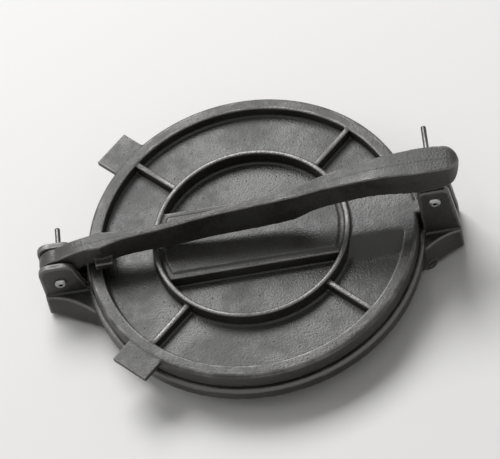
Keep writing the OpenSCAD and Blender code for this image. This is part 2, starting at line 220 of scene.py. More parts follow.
class SurfaceGroups:
    """The effects that several finishes share, each a shader node group built once."""

    def __init__(self) -> None:
        """Builds the groups."""
        self.grain = self.sand_grain()
        self.wear = self.edge_wear_and_corner_shade()
        self.patches = self.seasoning_patches()

    @staticmethod
    def sand_grain() -> bpy.types.NodeTree:
        """Builds the height of a sand-cast skin: fine grains, soft pebbles and a few pits.

        Returns:
            The group.
        """
        group = ShaderGroup("sand_grain", {
            "Grain": 1500.0, "Grain Share": 0.5, "Pebble": 620.0, "Pebble Share": 0.8,
            "Pit": 210.0, "Pit Edge": 0.14, "Pit Floor": 0.04, "Pitting": 0.7,
        }, ["Height"])
        given = group.given
        grain = group.noise(given["Vector"], given["Grain"], detail=1.0)
        pebble = group.noise(given["Vector"], given["Pebble"], detail=0.0)
        cells = group.node("ShaderNodeTexVoronoi", {"Vector": given["Vector"], "Scale": given["Pit"]})
        pits = group.ramp(cells.outputs["Distance"], given["Pit Edge"], given["Pit Floor"])
        rough = group.plus(
            group.times(grain, given["Grain Share"]), group.times(pebble, given["Pebble Share"])
        )
        return group.give({"Height": group.maths("SUBTRACT", rough, group.times(pits, given["Pitting"]))})

    @staticmethod
    def edge_wear_and_corner_shade() -> bpy.types.NodeTree:
        """Builds masks of the outer edges that hands rub bright and of the hollow corners that take painted
        shade.

        Returns:
            The group.
        """
        group = ShaderGroup("edge_wear_and_corner_shade", {
            "Bulge": 0.0, "Start": 0.3, "Full": 1.2, "Edge Start": 0.05, "Edge Full": 0.4,
            "Shallow": -0.1, "Deep": -0.9, "Patch": 60.0, "Breakup": 2.4,
        }, ["Rubbed", "Painted Shade"])
        given = group.given
        cloud = group.noise(given["Vector"], given["Patch"], detail=5.0)
        patch = group.maths("SUBTRACT", cloud, NOISE_MEAN)
        uneven = group.plus(given["Bulge"], group.times(patch, given["Breakup"]))
        edge = group.ramp(given["Bulge"], given["Edge Start"], given["Edge Full"])
        return group.give({
            "Rubbed": group.times(group.ramp(uneven, given["Start"], given["Full"]), edge),
            # Painted shade: this mask grows where the skin sinks below its smoother copy, in the hollow
            # corners.
            "Painted Shade": group.ramp(given["Bulge"], given["Shallow"], given["Deep"]),
        })

    @staticmethod
    def seasoning_patches() -> bpy.types.NodeTree:
        """Builds a mask of the broad patches where baked oil lies thicker.

        Returns:
            The group.
        """
        group = ShaderGroup("seasoning_patches", {
            "Patch": 22.0, "Patch Share": 0.75, "Fleck": 150.0, "Fleck Share": 0.25,
            "Low": 0.38, "High": 0.62,
        }, ["Mask"])
        given = group.given
        broad = group.noise(given["Vector"], given["Patch"], detail=4.0)
        fleck = group.noise(given["Vector"], given["Fleck"], detail=2.0)
        both = group.plus(
            group.times(broad, given["Patch Share"]), group.times(fleck, given["Fleck Share"])
        )
        return group.give({"Mask": group.ramp(both, given["Low"], given["High"])})


# ---- Finishes -----------------------------------------------------------------------------------


class Surface(Wiring):
    """A material in the making, with one principled shader.

    Args:
        name: The material's name.
    """

    def __init__(self, name: str) -> None:
        """Starts the material."""
        self.material = bpy.data.materials.new(name)
        self.material.use_nodes = True
        super().__init__(self.material.node_tree)
        self.tree.nodes.clear()
        self.skin = self.node("ShaderNodeBsdfPrincipled")
        self.node("ShaderNodeOutputMaterial", {"Surface": self.skin.outputs["BSDF"]})
        self.where = self.node("ShaderNodeTexCoord").outputs["Object"]

    def feed(self, inputs: Mapping[str, object]) -> None:
        """Feeds the principled shader's inputs with plain values or output sockets, by name."""
        for key, value in inputs.items():
            self.join(value, self.skin.inputs[key])

    def group(self, tree: bpy.types.NodeTree, inputs: Mapping[str, Number]) -> bpy.types.NodeOutputs:
        """Places a shared group with its own values on the object's coordinates and returns its outputs."""
        filled = {"Vector": self.where, **inputs}
        return self.node("ShaderNodeGroup", filled, node_tree=tree).outputs

    def mark(self, name: str) -> Socket:
        """Returns the value of a piece's own attribute."""
        return self.node("ShaderNodeAttribute", attribute_name=name).outputs["Fac"]

    def between(self, share: Socket, start: float, end: float) -> Socket:
        """Returns a number that goes from start to end as the share goes from 0 to 1."""
        inputs = {"Value": share, "To Min": start, "To Max": end}
        return self.node("ShaderNodeMapRange", inputs).outputs["Result"]

    def raised(self, height: Socket, strength: float, depth: float) -> Socket:
        """Returns the normal of a skin whose grain has a height, a strength and a depth."""
        inputs = {"Strength": strength, "Distance": depth, "Height": height}
        return self.node("ShaderNodeBump", inputs).outputs["Normal"]


@dataclass(frozen=True)
class Finish(ABC):
    """What every finish has: a grain, and patches that change its look.

    Args:
        name: The material's name.
        grain: How many of its grains fit in a metre.
        pebble: How many of its soft pebbles fit in a metre.
        pitting: How deep its pits are, next to its grains.
        patch: How many of its patches fit in a metre.
        fleck: How many of the flecks round its patches fit in a metre.
        grain_strength: How much its grain shows.
        grain_depth: How deep its grain is.
    """

    name: str
    grain: float
    pebble: float
    pitting: float
    patch: float
    fleck: float
    grain_strength: float
    grain_depth: float

    def material(self, groups: SurfaceGroups) -> bpy.types.Material:
        """Builds the finish.

        Args:
            groups: The shared surface effects.

        Returns:
            The material.
        """
        surface = Surface(self.name)
        grain = surface.group(
            groups.grain, {"Grain": self.grain, "Pebble": self.pebble, "Pitting": self.pitting}
        )
        patches = surface.group(groups.patches, {"Patch": self.patch, "Fleck": self.fleck})
        surface.feed({"Normal": surface.raised(grain["Height"], self.grain_strength, self.grain_depth)})
        self.colour(surface, patches["Mask"], groups)
        return surface.material

    @abstractmethod
    def colour(self, surface: Surface, patches: Socket, groups: SurfaceGroups) -> None:
        """Sets the colour and the gloss.

        Args:
            surface: The material in the making.
            patches: The mask of its patches.
            groups: The shared surface effects.
        """


@dataclass(frozen=True)
class CastIron(Finish):
    """Seasoned cast iron: a dark baked-oil skin over sand-cast metal, rubbed grey along its edges, with
    painted shade in its hollow corners.
    """

    name: str = "cast_iron_seasoned"
    grain: float = 1500.0
    pebble: float = 620.0
    pitting: float = 0.7
    patch: float = 22.0
    fleck: float = 150.0
    grain_strength: float = 1.0
    grain_depth: float = 0.22 * MM
    skin: Colour = (0.030, 0.0285, 0.0275)
    thick_oil: Colour = (0.018, 0.016, 0.0145)
    # Painted shade: the near-black that the hollow corners are darkened towards.
    painted_corner_shade: Colour = (0.009, 0.008, 0.007)
    bare_edge: Colour = (0.20, 0.195, 0.19)
    edge_share: float = 0.6
    rough_skin: float = 0.52
    rough_oil: float = 0.36

    def colour(self, surface: Surface, patches: Socket, groups: SurfaceGroups) -> None:
        """Sets the patches of oil, the painted shade in the hollow corners and the rubbed edges.

        Args:
            surface: The material in the making.
            patches: The mask of its patches.
            groups: The shared surface effects.
        """
        wear = surface.group(groups.wear, {"Bulge": surface.mark(EDGE_MARK)})
        oiled = surface.mix(patches, self.skin, self.thick_oil)
        # Painted shade: hollow corners are darkened towards the near-black corner colour.
        corner_shaded = surface.mix(wear["Painted Shade"], oiled, self.painted_corner_shade)
        rubbed = surface.times(wear["Rubbed"], self.edge_share)
        surface.feed({
            "Base Color": surface.mix(rubbed, corner_shaded, self.bare_edge),
            "Metallic": rubbed,
            "Roughness": surface.between(patches, self.rough_skin, self.rough_oil),
        })


@dataclass(frozen=True)
class ZincSteel(Finish):
    """Zinc-plated steel, faintly cloudy, with black oil left in its grooves and on its bare threads."""

    name: str = "zinc_plated_steel"
    grain: float = 2600.0
    pebble: float = 700.0
    pitting: float = 0.1
    patch: float = 180.0
    fleck: float = 900.0
    grain_strength: float = 0.2
    grain_depth: float = 0.05 * MM
    bright: Colour = (0.44, 0.445, 0.45)
    cloudy: Colour = (0.31, 0.31, 0.305)
    groove: Colour = (0.025, 0.023, 0.02)
    rough_bright: float = 0.26
    rough_cloudy: float = 0.42
    flat: float = 0.5
    hollow: float = 0.44
    oil_share: float = 0.9

    def colour(self, surface: Surface, patches: Socket, groups: SurfaceGroups) -> None:
        """Sets the clouds in the plating and the oil in hollows and on threads.

        Args:
            surface: The material in the making.
            patches: The mask of its patches.
            groups: The shared surface effects.
        """
        bulge = surface.node("ShaderNodeNewGeometry").outputs["Pointiness"]
        oil = surface.times(surface.mark(OIL_MARK), self.oil_share)
        dirt = surface.maths("MAXIMUM", surface.ramp(bulge, self.flat, self.hollow), oil)
        plated = surface.mix(patches, self.bright, self.cloudy)
        surface.feed({
            "Base Color": surface.mix(dirt, plated, self.groove),
            "Metallic": 1.0,
            "Roughness": surface.between(patches, self.rough_bright, self.rough_cloudy),
        })


@dataclass(frozen=True)
class Rubber(Finish):
    """Matt moulded rubber with a dusty bloom."""

    name: str = "moulded_rubber"
    grain: float = 3000.0
    pebble: float = 900.0
    pitting: float = 0.1
    patch: float = 240.0
    fleck: float = 1200.0
    grain_strength: float = 0.3
    grain_depth: float = 0.08 * MM
    dark: Colour = (0.040, 0.040, 0.040)
    bloom: Colour = (0.075, 0.073, 0.070)
    roughness: float = 0.78

    def colour(self, surface: Surface, patches: Socket, groups: SurfaceGroups) -> None:
        """Sets the dark rubber and its bloom, which is equally matt."""
        colour = surface.mix(patches, self.dark, self.bloom)
        surface.feed({"Base Color": colour, "Roughness": self.roughness})


class Finishes:
    """Every material of the press, by the record's slot."""

    def __init__(self) -> None:
        """Builds the materials."""
        groups = SurfaceGroups()
        kinds = {Slot.CAST_IRON: CastIron(), Slot.ZINC_STEEL: ZincSteel(), Slot.RUBBER: Rubber()}
        self.by_slot = {slot: kind.material(groups) for slot, kind in kinds.items()}


# ---- Mesh helpers -------------------------------------------------------------------------------


def add_object(name: str, data: bpy.types.ID) -> bpy.types.Object:
    """Adds an object to the scene at the origin, unturned and unscaled.

    Args:
        name: The object's name.
        data: Its mesh, lamp or camera.

    Returns:
        The object.
    """
    made = bpy.data.objects.new(name, data)
    bpy.context.scene.collection.objects.link(made)
    return made


def add_smoothing(piece: bpy.types.Object, steps: int, group: str = "") -> None:
    """Adds a modifier that evens out a piece's skin.

    Args:
        piece: The piece.
        steps: How many times its points move towards their neighbours.
        group: The vertex group that it works on, or none for all of the skin.
    """
    smooth = piece.modifiers.new("smooth", "SMOOTH")
    smooth.factor = SMOOTH_FACTOR
    smooth.iterations = steps
    smooth.vertex_group = group


def bake_modifiers(piece: bpy.types.Object) -> None:
    """Turns a piece's modifiers into its plain mesh.

    Args:
        piece: The piece.
    """
    graph = bpy.context.evaluated_depsgraph_get()
    baked = bpy.data.meshes.new_from_object(piece.evaluated_get(graph))
    piece.modifiers.clear()
    piece.data = baked


def dress(piece: bpy.types.Object, slot: Slot, body: Body, finishes: Finishes, node: str) -> None:
    """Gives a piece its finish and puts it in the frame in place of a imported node.

    Args:
        piece: The finished piece.
        slot: The record's slot for its finish.
        body: The body that it moves with.
        finishes: The materials.
        node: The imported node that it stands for.
    """
    piece.data.materials.clear()
    piece.data.materials.append(finishes.by_slot[slot])
    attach(piece, body.value)
    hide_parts(node)
    LOG.info("%s: %d faces, on %s", piece.name, len(piece.data.polygons), body.value)


# ---- Castings -----------------------------------------------------------------------------------


@dataclass(frozen=True)
class BlendZone:
    """The part of the top plate, beside the hinge, where the bridge's sides flow into the panel.

    Args:
        inner: The radius at which the blending starts, outside the ring.
        outer: The radius at which it ends, inside the rim.
        near: How far from the X axis it starts.
        far: How far from the X axis it ends.
        fade: The distance over which it starts and ends.
        steps: How many times the skin is smoothed there.
    """

    inner: float = 78.5 * MM
    outer: float = 115.0 * MM
    near: float = 8.0 * MM
    far: float = 44.0 * MM
    fade: float = 5.0 * MM
    steps: int = 90

    def weight(self, point: Vector) -> float:
        """Works out how much of the blending a point takes.

        Args:
            point: The point.

        Returns:
            Its share, from 0 to 1.
        """
        if point.x < 0:
            return 0.0
        radius, off_axis = math.hypot(point.x, point.y), abs(point.y)
        room = min(radius - self.inner, self.outer - radius, off_axis - self.near, self.far - off_axis)
        return min(max(room / self.fade, 0.0), 1.0)

    def apply(self, piece: bpy.types.Object) -> None:
        """Smooths the zone's skin.

        Args:
            piece: The top plate.
        """
        group = piece.vertex_groups.new(name="blend_zone")
        for vertex in piece.data.vertices:
            share = self.weight(vertex.co)
            if share > 0:
                group.add([vertex.index], share, "REPLACE")
        add_smoothing(piece, self.steps, group.name)
        bake_modifiers(piece)
        piece.vertex_groups.clear()


@dataclass(frozen=True)
class Casting:
    """A sand casting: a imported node's shape, with the rounded edges and corners that a mould leaves.

    Args:
        node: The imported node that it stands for.
        body: The body that it moves with.
        voxel: The size of the grid that its skin is drawn on.
        rounding: How many times the skin is smoothed.
        blend: A zone that is smoothed more than the rest.
        parting: Whether a mould's parting line shows along the plane Y = 0.
        parting_height: How far the parting line stands out.
        parting_width: How far from its middle the parting line has mostly died away.
        waviness: How far the skin wanders from true.
        wave_scale: How many of its waves fit in a metre.
        ripple_share: How high its ripples are, next to its waves.
        ripple_scale: How many ripples fit in a wave.
        wear_steps: How many times the copy is smoothed that the wear is measured from.
        wear_height: How far an edge stands out of that copy where hands have rubbed it fully.
        most_faces: How many triangles it may have.
    """

    node: str
    body: Body
    voxel: float
    rounding: int
    blend: BlendZone | None = None
    parting: bool = False
    parting_height: float = 0.18 * MM
    parting_width: float = 0.6 * MM
    waviness: float = 0.05 * MM
    wave_scale: float = 90.0
    ripple_share: float = 0.5
    ripple_scale: float = 3.1
    wear_steps: int = 22
    wear_height: float = 0.2 * MM
    most_faces: int = 180_000

    def copied(self) -> bpy.types.Object:
        """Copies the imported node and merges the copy's loose triangles.

        Returns:
            The copy.
        """
        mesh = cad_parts[self.node].data.copy()
        work = bmesh.new()
        work.from_mesh(mesh)
        bmesh.ops.remove_doubles(work, verts=work.verts, dist=TINY)
        work.to_mesh(mesh)
        work.free()
        return add_object("cast_" + self.node, mesh)

    def skin(self, piece: bpy.types.Object) -> None:
        """Redraws the piece as one even skin with soft edges and filleted corners.

        Args:
            piece: The copy of the node.
        """
        remesh = piece.modifiers.new("skin", "REMESH")
        remesh.mode = "VOXEL"
        remesh.voxel_size = self.voxel
        add_smoothing(piece, self.rounding)
        bake_modifiers(piece)

    def mark_edges(self, piece: bpy.types.Object) -> None:
        """Marks how far each point stands out of a smoother copy of the skin, for the wear on edges and the
        painted shade in corners to follow.

        Args:
            piece: The casting.
        """
        smoother = add_object("smoother_copy", piece.data.copy())
        add_smoothing(smoother, self.wear_steps)
        bake_modifiers(smoother)
        normals = [Vector(normal.vector) for normal in piece.data.vertex_normals]
        mark = piece.data.attributes.new(EDGE_MARK, "FLOAT", "POINT")
        for k, normal in enumerate(normals):
            stands_out = (piece.data.vertices[k].co - smoother.data.vertices[k].co).dot(normal)
            mark.data[k].value = stands_out / self.wear_height
        bpy.data.objects.remove(smoother)

    def weather(self, mesh: bpy.types.Mesh) -> None:
        """Moves the skin a little in and out, as sand and shrinkage do, and raises the parting line.

        Args:
            mesh: The casting's mesh.
        """
        normals = [Vector(normal.vector) for normal in mesh.vertex_normals]
        for vertex, normal in zip(mesh.vertices, normals):
            waved = vertex.co * self.wave_scale
            height = noise.noise(waved) + self.ripple_share * noise.noise(waved * self.ripple_scale)
            offset = height * self.waviness
            if self.parting:
                offset += self.parting_height * math.exp(-((vertex.co.y / self.parting_width) ** 2))
            vertex.co += normal * offset

    def thin(self, piece: bpy.types.Object) -> None:
        """Takes triangles out until the piece has no more than it may.

        Args:
            piece: The casting.
        """
        triangles = sum(len(face.vertices) - 2 for face in piece.data.polygons)
        if triangles > self.most_faces:
            decimate = piece.modifiers.new("thin", "DECIMATE")
            decimate.ratio = self.most_faces / triangles
            bake_modifiers(piece)

    def build(self, finishes: Finishes) -> None:
        """Builds and dresses the casting.

        Args:
            finishes: The materials.
        """
        piece = self.copied()
        self.skin(piece)
        if self.blend:
            self.blend.apply(piece)
        self.mark_edges(piece)
        self.weather(piece.data)
        self.thin(piece)
        piece.data.shade_smooth()
        dress(piece, Slot.CAST_IRON, self.body, finishes, self.node)


@dataclass(frozen=True)
class Castings:
    """The three castings of the press, of which the base is worn most."""

    base: Casting = Casting("base_plate", Body.BASE, voxel=0.8 * MM, rounding=7, wear_height=0.11 * MM)
    top: Casting = Casting("top_plate", Body.TOP_PLATE, voxel=0.75 * MM, rounding=6, blend=BlendZone())
    lever: Casting = Casting(
        "lever", Body.LEVER, voxel=0.6 * MM, rounding=12, parting=True, wave_scale=120.0
    )

    def build(self, finishes: Finishes) -> None:
        """Builds and dresses all three."""
        for casting in (self.base, self.top, self.lever):
            casting.build(finishes)


# ---- Turned pieces ------------------------------------------------------------------------------


@dataclass(frozen=True)
class Ring:
    """One ring of a turned piece.

    Args:
        height: Its place along the axis.
        radius: Its radius, or half its width across the flats.
        outline: What it looks like from the end.
        limit: The radius that it is turned down to.
    """

    height: float
    radius: float
    outline: Outline = Outline.ROUND
    limit: float = math.inf

    def reach(self, angle: float) -> float:
        """Works out how far the ring is from the axis.

        Args:
            angle: The direction, seen from the end.

        Returns:
            The distance.
        """
        if self.outline is Outline.HEXAGON:
            off = (angle + math.pi / 6) % (math.pi / 3) - math.pi / 6
            return min(self.radius / math.cos(off), self.limit)
        if self.outline is Outline.CROSS:
            off = abs((angle + math.pi / 4) % (math.pi / 2) - math.pi / 4)
            return min(self.limit, self.radius / max(math.sin(off), TINY))
        return min(self.radius, self.limit)


def quarter_round(start: tuple[float, float], end: tuple[float, float], steps: int) -> list[Ring]:
    """Draws a rounded edge, which starts across the axis and ends along it.

    Args:
        start: The first ring's height and radius.
        end: The last ring's height and radius.
        steps: How many steps the edge is drawn in.

    Returns:
        Its rings, one more than the steps.
    """
    (low, inner), (high, outer) = start, end
    turns = [math.pi / 2 * k / steps for k in range(steps + 1)]
    return [
        Ring(low + (high - low) * (1 - math.cos(turn)), inner + (outer - inner) * math.sin(turn))
        for turn in turns
    ]


def turned(rings: Sequence[Ring], segments: int, closed: bool) -> bmesh.types.BMesh:
    """Joins rings into a turned solid along Z.

    Args:
        rings: The rings in order. A first or last ring of no radius closes the end in a point.
        segments: How many points go round a ring.
        closed: Whether the last ring joins the first, as on a washer.

    Returns:
        The solid, with its faces pointing outwards.
    """
    made = bmesh.new()
    angles = [2 * math.pi * k / segments for k in range(segments)]
    loops = []
    for ring in rings:
        if ring.radius < TINY:
            loops.append([made.verts.new((0, 0, ring.height))] * segments)
            continue
        reaches = [(ring.reach(angle), angle) for angle in angles]
        loops.append([
            made.verts.new((reach * math.cos(angle), reach * math.sin(angle), ring.height))
            for reach, angle in reaches
        ])
    pairs = list(zip(loops, loops[1:]))
    if closed:
        pairs.append((loops[-1], loops[0]))
    for lower, upper in pairs:
        for k in range(segments):
            after = (k + 1) % segments
            corners = [lower[k], lower[after], upper[after], upper[k]]
            made.faces.new(list(dict.fromkeys(corners)))
    bmesh.ops.recalc_face_normals(made, faces=made.faces)
    return made


@dataclass(frozen=True)
class TurnedPiece(ABC):
    """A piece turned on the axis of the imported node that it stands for, and fixed to the base.

    Args:
        node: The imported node.
    """

    node: str

    slot: ClassVar[Slot] = Slot.ZINC_STEEL
    ending: ClassVar[str] = "_turned"
    segments: ClassVar[int] = 72
    closed: ClassVar[bool] = False
    upright: ClassVar[bool] = False

    @property
    def length(self) -> float:
        """The node's length along its axis, which is Z if it is upright and otherwise Y."""
        low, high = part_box(self.node)
        return high.z - low.z if self.upright else high.y - low.y

    @property
    def radius(self) -> float:
        """The node's largest radius about its axis."""
        low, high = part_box(self.node)
        return (high.x - low.x) / 2

    def placement(self) -> Matrix:
        """Works out what moves a piece turned along Z to the node's place.

        Returns:
            The move.
        """
        low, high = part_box(self.node)
        middle = (low + high) / 2
        if self.upright:
            return Matrix.Translation((middle.x, middle.y, low.z))
        return Matrix.Translation((middle.x, low.y, middle.z)) @ Matrix.Rotation(-math.pi / 2, 4, "X")

    @abstractmethod
    def rings(self) -> list[Ring]:
        """Returns the piece's rings in order."""

    def shape(self) -> bmesh.types.BMesh:
        """Returns the piece's shape along Z, before it is placed."""
        return turned(self.rings(), self.segments, self.closed)

    def mesh(self) -> bpy.types.Mesh:
        """Builds the piece's mesh at its place, smooth but for its sharp edges.

        Returns:
            The mesh.
        """
        mesh = bpy.data.meshes.new(self.node + self.ending)
        shape = self.shape()
        shape.to_mesh(mesh)
        shape.free()
        mesh.transform(self.placement())
        mesh.shade_smooth()
        mesh.set_sharp_from_angle(angle=SHARP_ANGLE)
        return mesh

    def build(self, finishes: Finishes) -> None:
        """Builds and dresses the piece."""
        piece = add_object(self.node + self.ending, self.mesh())
        dress(piece, self.slot, Body.BASE, finishes, self.node)


# ---- Bolts, nuts and washers --------------------------------------------------------------------


@dataclass(frozen=True)
class Thread:
    """The sizes of a wound thread.

    Args:
        length: How long the threaded stretch is.
        core: The radius of the core.
        pitch: The distance from turn to turn.
        depth: How far the ridge stands out of the core.
    """

    length: float
    core: float
    pitch: float
    depth: float


class ThreadTree(Wiring):
    """Geometry nodes that wind a thread round a rod's core.

    Args:
        finish: The thread's material.
    """

    ROUND_STEPS = 24
    FOOT_SHARE = 0.42
    CREST_SHARE = 0.07

    def __init__(self, finish: bpy.types.Material) -> None:
        """Builds the tree."""
        super().__init__(bpy.data.node_groups.new("wound_thread", "GeometryNodeTree"))
        self.finish = finish
        kinds = dict.fromkeys(("Length", "Core Radius", "Pitch", "Depth"), "NodeSocketFloat")
        kinds["Finish"] = "NodeSocketMaterial"
        face = self.tree.interface
        self.sockets = {
            name: face.new_socket(name, in_out="INPUT", socket_type=kind).identifier
            for name, kind in kinds.items()
        }
        face.new_socket("Geometry", in_out="OUTPUT", socket_type="NodeSocketGeometry")
        self.given = self.tree.nodes.new("NodeGroupInput").outputs
        both = self.node("GeometryNodeJoinGeometry")
        for part in (self.ridge(), self.core()):
            self.join(part, both.inputs[0])
        real = self.node("GeometryNodeRealizeInstances", {"Geometry": both.outputs[0]})
        dressed = {"Geometry": real.outputs[0], "Material": self.given["Finish"]}
        self.node("NodeGroupOutput", {
            "Geometry": self.node("GeometryNodeSetMaterial", dressed).outputs[0],
        })

    def ridge(self) -> Socket:
        """Sweeps the ridge along a helix and runs it out at both ends.

        Returns:
            The ridge.
        """
        turns = self.maths("DIVIDE", self.given["Length"], self.given["Pitch"])
        helix = self.node("GeometryNodeCurveSpiral", {
            "Resolution": self.ROUND_STEPS, "Rotations": turns, "Height": self.given["Length"],
            "Start Radius": self.given["Core Radius"], "End Radius": self.given["Core Radius"],
        })
        upright = self.node("GeometryNodeSetCurveNormal", {"Curve": helix.outputs[0]}, mode="Z_UP")
        along = self.node("GeometryNodeSplineParameter").outputs["Factor"]
        from_end = self.maths("MINIMUM", along, self.maths("SUBTRACT", 1.0, along))
        run_out = self.maths("MINIMUM", self.times(from_end, turns), 1.0)
        tapered = self.node("GeometryNodeSetCurveRadius", {"Curve": upright.outputs[0], "Radius": run_out})
        swept = self.node("GeometryNodeCurveToMesh", {
            "Curve": tapered.outputs[0], "Profile Curve": self.section(), "Fill Caps": True,
        })
        return swept.outputs["Mesh"]

    def section(self) -> Socket:
        """Draws the ridge's section: wide at the core and narrow at the crest.

        Returns:
            The section's outline.
        """
        foot, crest = self.FOOT_SHARE, self.CREST_SHARE
        corners = {}
        for k, (across, out) in enumerate(((-foot, 0.0), (foot, 0.0), (crest, 1.0), (-crest, 1.0)), 1):
            place = {"X": self.times(self.given["Depth"], out), "Y": self.times(self.given["Pitch"], across)}
            corners[f"Point {k}"] = self.node("ShaderNodeCombineXYZ", place).outputs[0]
        return self.node("GeometryNodeCurvePrimitiveQuadrilateral", corners, mode="POINTS").outputs["Curve"]

    def core(self) -> Socket:
        """Stands the core on the origin.

        Returns:
            The core.
        """
        rod = self.node("GeometryNodeMeshCylinder", {
            "Vertices": self.ROUND_STEPS, "Radius": self.given["Core Radius"], "Depth": self.given["Length"],
        })
        lift = self.node("ShaderNodeCombineXYZ", {"Z": self.times(self.given["Length"], 0.5)})
        moved = {"Geometry": rod.outputs["Mesh"], "Translation": lift.outputs[0]}
        return self.node("GeometryNodeTransform", moved).outputs["Geometry"]

    def wind(self, thread: Thread) -> bpy.types.Mesh:
        """Winds one thread along +Z from the origin.

        Args:
            thread: The thread's sizes.

        Returns:
            The thread as a plain mesh.
        """
        carrier = add_object("thread_carrier", bpy.data.meshes.new("thread_carrier"))
        modifier = carrier.modifiers.new("thread", "NODES")
        modifier.node_group = self.tree
        values = {
            "Length": thread.length, "Core Radius": thread.core, "Pitch": thread.pitch,
            "Depth": thread.depth, "Finish": self.finish,
        }
        for name, value in values.items():
            modifier[self.sockets[name]] = value
        bake_modifiers(carrier)
        mesh = carrier.data
        bpy.data.objects.remove(carrier)
        return mesh


@dataclass(frozen=True)
class DomeBolt(TurnedPiece):
    """A domed machine bolt with a hexagon socket and a rolled thread.

    Args:
        tree: The tree that winds its thread.
    """

    tree: ThreadTree
    head_height: float = 2.8 * MM
    head_band: float = 0.75 * MM
    head_edge: float = 0.2 * MM
    crown_share: float = 1.4
    crown_drop: float = 0.02 * MM
    dome_steps: int = 8
    socket_half: float = 1.5 * MM
    socket_depth: float = 1.7 * MM
    socket_point: float = 0.5 * MM
    mouth_depth: float = 0.18 * MM
    mouth_flare: float = 0.25 * MM
    mouth_share: float = 1.25
    shank_radius: float = 2.5 * MM
    plain_shank: float = 3.0 * MM
    shank_taper: float = 0.3 * MM
    pitch: float = 0.8 * MM
    thread_depth: float = 0.45 * MM
    thread_lead: float = 0.2 * MM
    thread_room: float = 0.8 * MM
    thread_sink: float = 0.02 * MM
    tip_length: float = 0.7 * MM
    tip_bevel: float = 0.5 * MM

    segments: ClassVar[int] = 48

    @property
    def core(self) -> float:
        """The radius at the bottom of the thread."""
        return self.shank_radius - self.thread_depth

    @property
    def start(self) -> float:
        """How far from the top of the head the plain shank ends."""
        return self.head_height + self.plain_shank

    def rings(self) -> list[Ring]:
        """Draws the bolt from the socket's floor, over the head and down to the tip.

        Returns:
            Its rings in order.
        """
        mouth, mouth_limit = self.socket_half + self.mouth_flare, self.socket_half * self.mouth_share
        crown = self.socket_half * self.crown_share
        dome_end = (self.head_height - self.head_band, self.radius)
        return [
            Ring(self.socket_depth + self.socket_point, 0.0),
            Ring(self.socket_depth, self.socket_half, Outline.HEXAGON),
            Ring(self.mouth_depth, self.socket_half, Outline.HEXAGON),
            Ring(0.0, mouth, Outline.HEXAGON, mouth_limit),
            Ring(self.crown_drop, crown),
            *quarter_round((0.0, crown), dome_end, self.dome_steps)[1:],
            Ring(self.head_height - self.head_edge, self.radius),
            Ring(self.head_height, self.radius - self.head_edge),
            Ring(self.head_height, self.shank_radius),
            Ring(self.start, self.shank_radius),
            Ring(self.start + self.shank_taper, self.core),
            Ring(self.length - self.tip_length, self.core),
            Ring(self.length, self.core - self.tip_bevel),
            Ring(self.length, 0.0),
        ]

    def shape(self) -> bmesh.types.BMesh:
        """Builds the bolt along Z and winds its thread on.

        Returns:
            The bolt's shape, before it is placed.
        """
        shape = super().shape()
        threaded, core = self.length - self.start - self.thread_room, self.core - self.thread_sink
        wound = self.tree.wind(Thread(threaded, core, self.pitch, self.thread_depth))
        wound.transform(Matrix.Translation((0, 0, self.start + self.thread_lead)))
        shape.from_mesh(wound)
        bpy.data.meshes.remove(wound)
        return shape

    def mesh(self) -> bpy.types.Mesh:
        """Builds the bolt's mesh and marks it as black with oil from where its thread starts.

        Returns:
            The mesh.
        """
        mesh = super().mesh()
        first = min(vertex.co.y for vertex in mesh.vertices)
        mark = mesh.attributes.new(OIL_MARK, "FLOAT", "POINT")
        for vertex, share in zip(mesh.vertices, mark.data):
            share.value = min(max((vertex.co.y - first - self.start) / self.pitch, 0.0), 1.0)
        return mesh


@dataclass(frozen=True)
class HexNut(TurnedPiece):
    """A hexagon nut with both ends chamfered."""

    half_width: float = 4.0 * MM
    bore: float = 2.52 * MM
    mouth: float = 0.45 * MM
    face_share: float = 0.97
    chamfer_slope: float = 0.55
    chamfer_steps: int = 5

    closed: ClassVar[bool] = True

    def rings(self) -> list[Ring]:
        """Draws the nut up the outside and back down the bore.

        Returns:
            Its rings in order.
        """
        corner = self.half_width / math.cos(math.pi / 6)
        face = self.half_width * self.face_share
        drop = (corner - face) * self.chamfer_slope
        shares = [k / self.chamfer_steps for k in range(self.chamfer_steps + 1)]
        lower = [
            Ring(drop * share, self.half_width, Outline.HEXAGON, face + (corner - face) * share)
            for share in shares
        ]
        upper = [replace(ring, height=self.length - ring.height) for ring in reversed(lower)]
        bore = [
            Ring(self.length, self.bore + self.mouth), Ring(self.length - self.mouth, self.bore),
            Ring(self.mouth, self.bore), Ring(0.0, self.bore + self.mouth),
        ]
        return lower + upper + bore


@dataclass(frozen=True)
class PressedWasher(TurnedPiece):
    """A stamped washer: one rolled edge and one sharper edge."""

    bore: float = 2.65 * MM
    roll: float = 0.25 * MM
    roll_steps: int = 4
    burr: float = 0.1 * MM

    ending: ClassVar[str] = "_pressed"
    segments: ClassVar[int] = 64
    closed: ClassVar[bool] = True

    def rings(self) -> list[Ring]:
        """Draws the washer down the outside and back up the bore.

        Returns:
            Its rings in order.
        """
        rolled = (self.length, self.radius - self.roll), (self.length - self.roll, self.radius)
        return [
            Ring(self.length, self.bore + self.roll),
            *quarter_round(*rolled, self.roll_steps),
            Ring(self.burr, self.radius),
            Ring(0.0, self.radius - self.burr),
            Ring(0.0, self.bore + self.burr),
            Ring(self.burr, self.bore),
            Ring(self.length - self.roll, self.bore),
        ]


